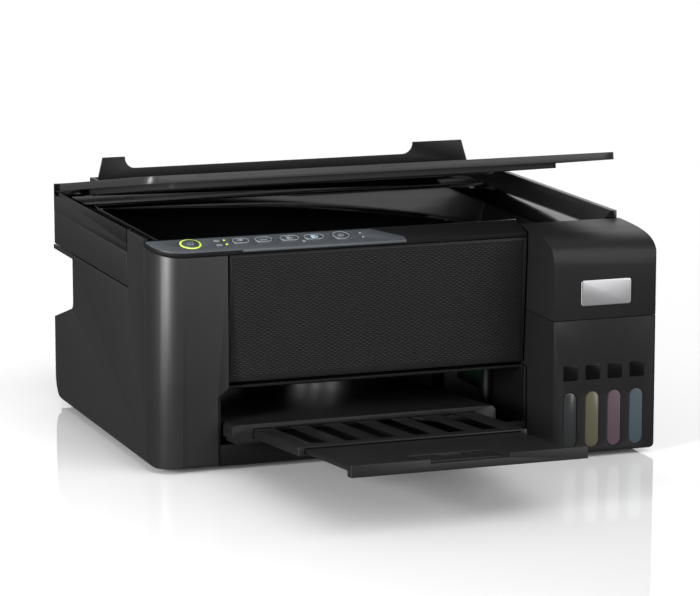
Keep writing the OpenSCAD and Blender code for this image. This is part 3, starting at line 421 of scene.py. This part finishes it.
@dataclass
class ControlPanel:
    """Slate plate with its buttons, printed outlines, icons and lights."""

    deck: Deck = field(default_factory=Deck)
    line: float = 0.5 * MM
    print_rise: float = 0.68 * MM
    button_depth: float = 5.5 * MM
    outline_inset: float = 0.8 * MM
    ring_to_x: float = -0.05
    buttons: tuple[tuple[str, str], ...] = (
        ("power_button", "power"), ("network_button", "waves"), ("info_button", "lines"),
        ("mono_button", "page"), ("colour_button", "page_blue"), ("stop_button", "stop"))
    indicators: tuple[Vec, ...] = ((-134.5, 18.0, 4.0), (-134.5, 10.8, 4.0), (-70.1, 9.0, 2.2))

    def local(self, node: str) -> tuple[float, float, float, float]:
        """Centre and size of a button in x and up the slope."""
        low, high = lo_hi(node)
        origin, up, _ = self.deck.frame()
        centre = (low + high) / 2
        v = float((centre - origin) @ up)
        tall = (high[1] - low[1]) / math.cos(self.deck.tilt)
        # the button's own depth leans into its box; take it off
        tall -= self.button_depth * math.tan(self.deck.tilt)
        return float(centre[0]), v, float(high[0] - low[0]), float(tall)

    def icon(self, kind: str, cx: float, cv: float) -> list[np.ndarray]:
        """Generic line icons as open or closed paths."""
        u = 1 * MM
        if kind == "power":
            t = np.radians(np.linspace(125, 415, 22))
            return [np.stack([cx + 2.2 * u * np.cos(t), cv - 0.2 * u + 2.2 * u * np.sin(t)], -1),
                    np.array([[cx, cv + 0.4 * u], [cx, cv + 2.9 * u]])]
        if kind == "waves":
            paths = []
            for r in (1.3, 2.4, 3.5):
                t = np.radians(np.linspace(45, 135, 12))
                paths.append(np.stack([cx + r * u * np.cos(t), cv - 1.6 * u + r * u * np.sin(t)], -1))
            return paths
        if kind == "lines":
            return [np.array([[cx + (k - 1.5) * 1.5 * u, cv - 1.8 * u], [cx + (k - 1.5) * 1.5 * u, cv + 1.8 * u]])
                    for k in range(4)]
        if kind.startswith("page"):
            box = np.array([[-1.9, -2.2], [1.3, -2.2], [1.3, 2.2], [-1.9, 2.2], [-1.9, -2.2]]) * u
            lines = [np.array([[-1.2, k], [0.6, k]]) * u for k in (-1.0, 0.0, 1.0)]
            arrow = np.array([[1.9, -1.2], [3.0, 0], [1.9, 1.2]]) * u
            return [p + np.array([cx, cv]) for p in [box, *lines, arrow]]
        t = np.linspace(0, 2 * np.pi, 25)
        return [np.stack([cx + 1.9 * u * np.cos(t), cv + 1.9 * u * np.sin(t)], -1),
                np.array([[cx - 1.1 * u, cv - 1.1 * u], [cx + 1.1 * u, cv + 1.1 * u]])]

    def build(self) -> None:
        """Dresses the plate and buttons and prints the outlines and icons."""
        soft_copy("control_panel", SLATE, 0.25, 2)
        soft_copy("top_deck", SHELL, 0.3, 2)
        for node, _ in self.buttons:
            soft_copy(node, BUTTON, 0.2, 2)
        soft_copy("panel_lights", GREEN_RING, 0.1, 1, PRINT, self.ring_to_x)
        dress(BOARD, "panel_board")
        for node, icon in self.buttons:
            cx, cv, wide, tall = self.local(node)
            # the colour button's blue print carries a faint painted glow
            finish = PRINT_BLUE_PAINTED_GLOW if icon.endswith("blue") else PRINT
            parts = [self.deck.stroke(f"{node}_mark_{k}", path, self.line, self.print_rise, finish, False)
                     for k, path in enumerate(self.icon(icon, cx, cv))]
            # the power button has its lit ring instead of an outline
            if icon != "power":
                outline = oval(cx, cv, wide - self.outline_inset, tall - self.outline_inset)
                parts.append(self.deck.stroke(f"{node}_outline", outline, self.line, self.print_rise, PRINT))
            add_piece(join(f"{node}_print", parts), node)
        marks = [self.deck.stroke(f"indicator_mark_{k}", oval(x * MM, v * MM, w * MM, 2.2 * MM, 24),
                                  self.line, 0.1 * MM, PRINT)
                 for k, (x, v, w) in enumerate(self.indicators)]
        add_piece(join("indicator_marks", marks), "scanner_unit")


@dataclass
class FrontPanel:
    """Front panel with a moulded relief of short staggered dashes over its face."""

    cell_w: float = 5.0 * MM
    row_h: float = 1.4 * MM
    depth: float = 0.22 * MM
    step_x: float = 0.9 * MM
    step_s: float = 0.35 * MM
    border: float = 2.4 * MM
    lean: float = 6.1 * MM
    margin: float = 0.8 * MM
    lift: float = 0.06 * MM
    sink: float = 0.4 * MM

    def relief(self, x: np.ndarray, s: np.ndarray, wide: float, tall: float) -> np.ndarray:
        """Height of the dash relief.

        Rows of rounded bars, each shifted by half a cell from the row below. A bar's height is the
        product of two raised cosines, along and across it, and it fades out over the border.
        """
        row = np.floor(s / self.row_h)
        across = 0.5 - 0.5 * np.cos(2 * np.pi * (s / self.row_h - row))
        along = 0.5 - 0.5 * np.cos(2 * np.pi * (x / self.cell_w + 0.5 * (row % 2)))
        bar = np.clip(along * 2.2 - 0.5, 0, 1) * across
        edge = np.minimum(np.minimum(x, wide - x), np.minimum(s, tall - s))
        return self.depth * bar * np.clip(edge / self.border - 1, 0, 1)

    def build(self) -> None:
        """Makes the softened panel and its relief skin."""
        soft_copy("front_panel", SHELL, 0.5, 3)
        low, high = lo_hi("front_panel")
        wide = high[0] - low[0]
        top_z, bottom_z = high[2], low[2]
        rise = top_z - bottom_z
        tall = math.hypot(rise, self.lean)
        x = np.arange(self.margin, wide - self.margin, self.step_x)
        s = np.arange(self.margin, tall - self.margin, self.step_s)
        gx, gs = np.meshgrid(x, s)
        share = gs / tall
        out = self.relief(gx, gs, wide, tall)
        y = low[1] + self.lean * (1 - share) - self.lift - out
        z = bottom_z + rise * share
        verts = np.stack([low[0] + gx, y, z], -1)
        # the skin's border is sunk into the panel, so that no edge of it shows
        verts[[0, -1], :, 1] += self.sink
        verts[:, [0, -1], 1] += self.sink
        skin = mesh_object("front_panel_relief", verts.reshape(-1, 3), grid_faces(len(s), len(x)), SHELL)
        add_piece(skin, "scanner_unit")


@dataclass
class InkUnit:
    """Tank case, its crowned cover, the badge, the labels and the four ink tanks."""

    def windows(self) -> None:
        """Gives each tank its tinted, smoky finish and its cap's colour."""
        for ink in INKS:
            tank = Finish(f"tinted_polypropylene_{ink.name}", ink.window, 0.22, Grain.POLISHED,
                          coat=0.5, shade=0.12)
            soft_copy(f"ink_tank_{ink.name}", tank, 0.6, 3)
            cap = Finish(f"moulded_cap_{ink.name}", ink.cap, 0.4)
            soft_copy(f"tank_cap_{ink.name}", cap, 0.5, 2)

    def build(self) -> None:
        """Dresses the whole ink unit."""
        soft_copy("tank_case", LINED, 0.6, 3)
        soft_copy("tank_cover", LINED, 0.7, 3)
        soft_copy("tank_labels", LABEL, 0.12, 2)
        soft_copy("badge_plate", SILVER, 0.3, 3)
        dress(CHROME, "cap_rod")
        self.windows()


@dataclass
class Shells:
    """Outer covers, lid, scanner bed and rear feeder."""

    # where the bed frame's lighter grey rim finish begins, a painted highlight
    rim_highlight_from_x: float = 0.168

    def build(self) -> None:
        """Dresses each cover with softened edges."""
        # the side covers and the scanner frame take the lighter copy of the ABS, a painted sheen
        soft_copy("left_cover", SIDE_PAINTED_SHEEN, 0.5, 3)
        soft_copy("right_cover", SIDE_PAINTED_SHEEN, 0.5, 3)
        soft_copy("rear_cover", SHELL, 0.4, 2)
        # the sill and the base pan take the darker inner ABS, a painted shade
        soft_copy("front_sill", INNER_PAINTED_SHADE, 0.4, 2)
        soft_copy("scanner_frame", SIDE_PAINTED_SHEEN, 0.5, 3)
        # faces beyond the rim's start take the lighter grey rim finish: a painted highlight
        soft_copy("bed_frame", GLOSS, 0.5, 3, RIM_PAINTED_HIGHLIGHT, self.rim_highlight_from_x)
        soft_copy("scanner_glass", GLASS, 0.2, 2)
        soft_copy("lid_shell", LID, 0.7, 3)
        # only the edge of the mat shows while the lid is ajar
        soft_copy("lid_mat", FOAM, 0.5, 2)
        soft_copy("rear_feeder", SHELL, 0.5, 3)
        soft_copy("feeder_guard", SHELL, 0.4, 3)
        soft_copy("paper_support", TRAY, 0.4, 2)
        soft_copy("edge_guide", TRAY, 0.3, 2)
        soft_copy("base_pan", INNER_PAINTED_SHADE, 0.4, 2)
        dress(RUBBER, "feet")


@dataclass
class Tray:
    """Three-stage output tray and its stopper."""

    def build(self) -> None:
        """Dresses the tray stages."""
        soft_copy("output_tray", TRAY, 0.8, 3)
        soft_copy("tray_middle", TRAY, 0.4, 3)
        soft_copy("tray_end", TRAY, 0.5, 3)
        soft_copy("tray_stopper", TRAY, 0.2, 2)


@dataclass
class Mechanism:
    """Print and scan mechanism inside the body."""

    def build(self) -> None:
        """Gives the inner parts their finishes."""
        # the chassis is coloured near black: painted shade inside the output opening
        dress(STEEL_PAINTED_SHADE, "mech_frame")
        dress(STEEL, "power_supply", "usb_port", "carriage_motor", "hinge_brackets", "chassis_screws")
        dress(CHROME, "carriage_rail", "scan_rod")
        # the inner parts take the darker ABS, a painted shade
        dress(INNER_PAINTED_SHADE, "platen", "capping_station", "carriage", "scan_bar")
        dress(BOARD, "main_board")
        dress(RUBBER, "drive_belts", "feed_roller", "eject_roller")
        soft_copy("ac_inlet", SOCKET, 0.3, 2)


# ------------------------------------------------------------------ studio
@dataclass
class Studio:
    """Pale glossy floor, soft light and the camera."""

    camera_at: Vec = (-0.9016, -2.4156, 0.5936)
    pitch: float = 10.53
    yaw: float = 19.96
    lens: float = 180.56
    sun_power: float = 2.6
    left_power: float = 40.0
    room_low: float = 0.12
    room_high: float = 0.40
    sun_spread: float = 70.0
    sun_along: Vec = (-0.336, 0.734, -0.59)
    half_floor: float = 12.0

    def floor(self) -> None:
        """A wide white acrylic floor that mirrors the printer softly."""
        half = self.half_floor
        verts = np.array([[-half, -half, 0], [half, -half, 0], [half, half, 0], [-half, half, 0]])
        finish = Finish("white_acrylic_floor", "#f8f8f8", 0.03, Grain.POLISHED, shade=0.005)
        floor = mesh_object("floor", verts, [[0, 1, 2, 3]], finish, False)
        # glossy plastic is shaded by the dim room below the horizon, not by the bright floor
        floor.visible_glossy = False

    def light(self, name: str, at: Vec, aim: Vec, size: tuple[float, float], power: float) -> None:
        """One rectangular softbox that points from at to aim."""
        data = bpy.data.lights.new(name, "AREA")
        data.shape = "RECTANGLE"
        data.size, data.size_y = size
        data.energy = power
        lamp = bpy.data.objects.new(name, data)
        bpy.context.scene.collection.objects.link(lamp)
        ray = Vector(aim) - Vector(at)
        lamp.location = at
        lamp.rotation_euler = ray.to_track_quat("-Z", "Y").to_euler()

    def build(self) -> None:
        """Sets up floor, world, softboxes and camera."""
        self.floor()
        world = bpy.data.worlds.new("studio")
        bpy.context.scene.world = world
        world.use_nodes = True
        tree = world.node_tree
        ray = add_node(tree, "ShaderNodeTexCoord").outputs["Generated"]
        height = add_node(tree, "ShaderNodeSeparateXYZ", {0: ray}).outputs["Z"]
        ahead = add_node(tree, "ShaderNodeVectorMath", {0: ray}, operation="DOT_PRODUCT")
        yaw = math.radians(self.yaw)
        ahead.inputs[1].default_value = (math.sin(yaw), math.cos(yaw), 0.0)
        # a white backdrop spreads about forty degrees to each side of the view, above the horizon
        spread = add_node(tree, "ShaderNodeMapRange", {"Value": ahead.outputs["Value"]},
                          interpolation_type="SMOOTHSTEP")
        spread.inputs["From Min"].default_value = 0.55
        spread.inputs["From Max"].default_value = 0.88
        above = add_node(tree, "ShaderNodeMapRange", {"Value": height})
        above.inputs["From Min"].default_value = -0.03
        above.inputs["From Max"].default_value = 0.03
        below = add_node(tree, "ShaderNodeMapRange", {"Value": height})
        below.inputs["From Min"].default_value = 0.55
        below.inputs["From Max"].default_value = 0.25
        band = add_node(tree, "ShaderNodeMath", {0: above.outputs[0], 1: below.outputs[0]},
                        operation="MULTIPLY")
        backdrop = add_node(tree, "ShaderNodeMath", {0: spread.outputs[0], 1: band.outputs[0]},
                            operation="MULTIPLY")
        room = add_node(tree, "ShaderNodeMapRange", {"Value": height})
        room.inputs["From Min"].default_value = -0.1
        room.inputs["From Max"].default_value = 0.5
        room.inputs["To Min"].default_value = self.room_low
        room.inputs["To Max"].default_value = self.room_high
        total = add_node(tree, "ShaderNodeMath", {0: backdrop.outputs[0], 1: room.outputs[0]},
                         operation="ADD")
        tree.links.new(total.outputs[0], tree.nodes["Background"].inputs["Strength"])
        tree.nodes["Background"].inputs["Color"].default_value = linear("#ffffff")
        sun = bpy.data.lights.new("window_light", "SUN")
        sun.energy = self.sun_power
        sun.angle = math.radians(self.sun_spread)
        lamp = bpy.data.objects.new("window_light", sun)
        lamp.rotation_euler = Vector(self.sun_along).to_track_quat("-Z", "Y").to_euler()
        bpy.context.scene.collection.objects.link(lamp)
        self.light("softbox_left", (-1.35, -0.8, 0.34), (-0.18, 0, 0.1), (0.3, 0.6), self.left_power)
        bpy.context.scene.view_settings.view_transform = "Standard"
        data = bpy.data.cameras.new("camera")
        data.lens = self.lens
        data.sensor_width = 36.0
        data.clip_end = 60.0
        camera = bpy.data.objects.new("camera", data)
        camera.location = self.camera_at
        camera.rotation_euler = (math.radians(90 - self.pitch), 0, math.radians(-self.yaw))
        bpy.context.scene.collection.objects.link(camera)
        bpy.context.scene.camera = camera


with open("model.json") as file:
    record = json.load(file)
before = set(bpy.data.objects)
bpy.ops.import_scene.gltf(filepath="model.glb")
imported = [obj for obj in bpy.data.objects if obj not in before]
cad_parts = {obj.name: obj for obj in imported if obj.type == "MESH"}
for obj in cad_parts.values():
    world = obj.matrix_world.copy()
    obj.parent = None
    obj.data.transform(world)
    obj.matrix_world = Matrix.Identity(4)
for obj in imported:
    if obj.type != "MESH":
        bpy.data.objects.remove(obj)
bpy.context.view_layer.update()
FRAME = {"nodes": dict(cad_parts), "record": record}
NODE_BODY = {n: b for b, nodes in FRAME["record"]["behaviour"]["bodies"].items() for n in nodes}


def main() -> None:
    """Builds the studio and each sub-assembly in order."""
    logging.basicConfig(level=logging.INFO)
    for part in (Studio(), Shells(), ControlPanel(), FrontPanel(), InkUnit(), Tray(), Mechanism()):
        part.build()
        log.info("%s built", type(part).__name__)


if __name__ == "__main__":
    main()
